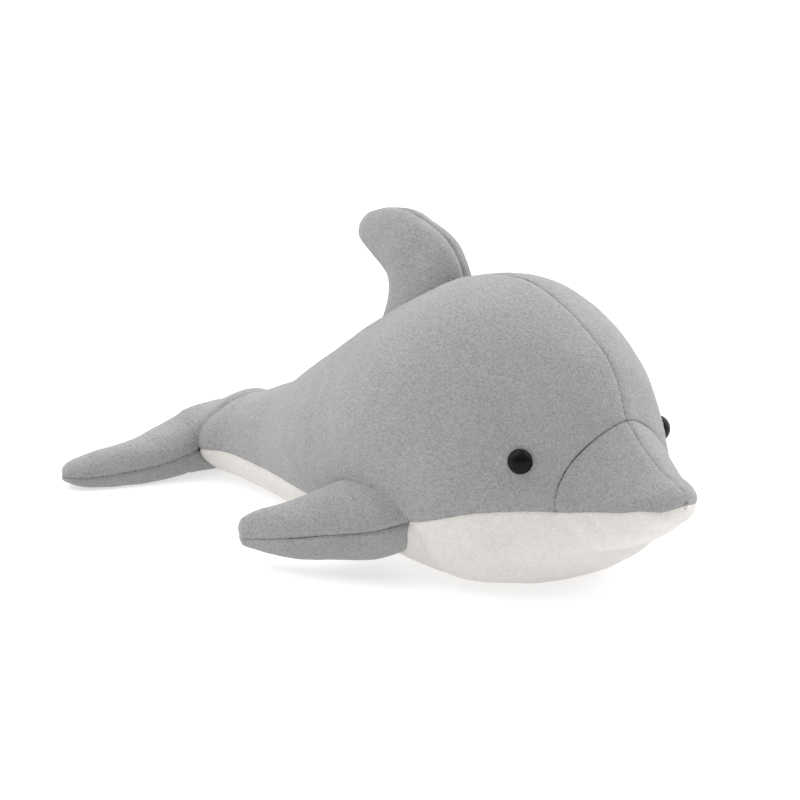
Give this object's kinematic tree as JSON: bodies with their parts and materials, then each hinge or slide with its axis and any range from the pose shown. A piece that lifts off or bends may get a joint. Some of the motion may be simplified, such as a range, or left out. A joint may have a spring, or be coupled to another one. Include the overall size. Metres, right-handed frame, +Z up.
{
  "type": "plush dolphin",
  "caption": "Plush dolphin lying on its belly: grey fleece back, white underside, stuffed flippers, dorsal fin and tail fluke, and domed safety eyes.",
  "frame": {"origin": "on the floor, under the middle of the object's box", "axes": "+X towards the head, +Y to the dolphin's left, +Z up"},
  "size_m": [0.389, 0.207, 0.1676],
  "materials": {
    "grey_fleece": "matte",
    "white_fleece": "matte",
    "fibre_filling": "matte",
    "black_eye": "gloss",
    "clear_washer": "satin"
  },
  "bodies": {
    "body": {"body_panel_left": "grey_fleece", "body_panel_right": "grey_fleece", "belly_panel": "white_fleece", "beak_panel_left": "grey_fleece", "beak_panel_right": "grey_fleece", "body_stuffing": "fibre_filling", "eye_left": "black_eye", "eye_right": "black_eye", "eye_washer_left": "clear_washer", "eye_washer_right": "clear_washer"},
    "flipper_left": {"flipper_left_top_panel": "grey_fleece", "flipper_left_bottom_panel": "grey_fleece", "flipper_left_stuffing": "fibre_filling"},
    "flipper_right": {"flipper_right_top_panel": "grey_fleece", "flipper_right_bottom_panel": "grey_fleece", "flipper_right_stuffing": "fibre_filling"},
    "dorsal_fin": {"dorsal_fin_left_panel": "grey_fleece", "dorsal_fin_right_panel": "grey_fleece", "dorsal_fin_stuffing": "fibre_filling"},
    "tail_fluke": {"fluke_top_panel": "grey_fleece", "fluke_bottom_panel": "grey_fleece", "fluke_stuffing": "fibre_filling"}
  },
  "joints": [
    {"name": "flipper_left_flap", "type": "hinge", "parent": "body", "child": "flipper_left", "pos_m": [0.0405, 0.072, 0.033], "axis": [0.9859, 0, -0.1676], "range_deg": [-5, 40], "stiffness_Nm_per_rad": 0.05},
    {"name": "flipper_right_flap", "type": "hinge", "parent": "body", "child": "flipper_right", "pos_m": [0.0405, -0.072, 0.033], "axis": [-0.9859, 0, 0.1676], "range_deg": [-5, 40], "stiffness_Nm_per_rad": 0.05},
    {"name": "dorsal_fin_lean", "type": "hinge", "parent": "body", "child": "dorsal_fin", "pos_m": [0.0095, 0, 0.125], "axis": [0.8984, 0, 0.4392], "range_deg": [-25, 25], "stiffness_Nm_per_rad": 0.05},
    {"name": "tail_fluke_bend", "type": "hinge", "parent": "body", "child": "tail_fluke", "pos_m": [-0.1603, 0, 0.022], "axis": [0, 1, 0], "range_deg": [0, 30], "stiffness_Nm_per_rad": 0.12}
  ]
}
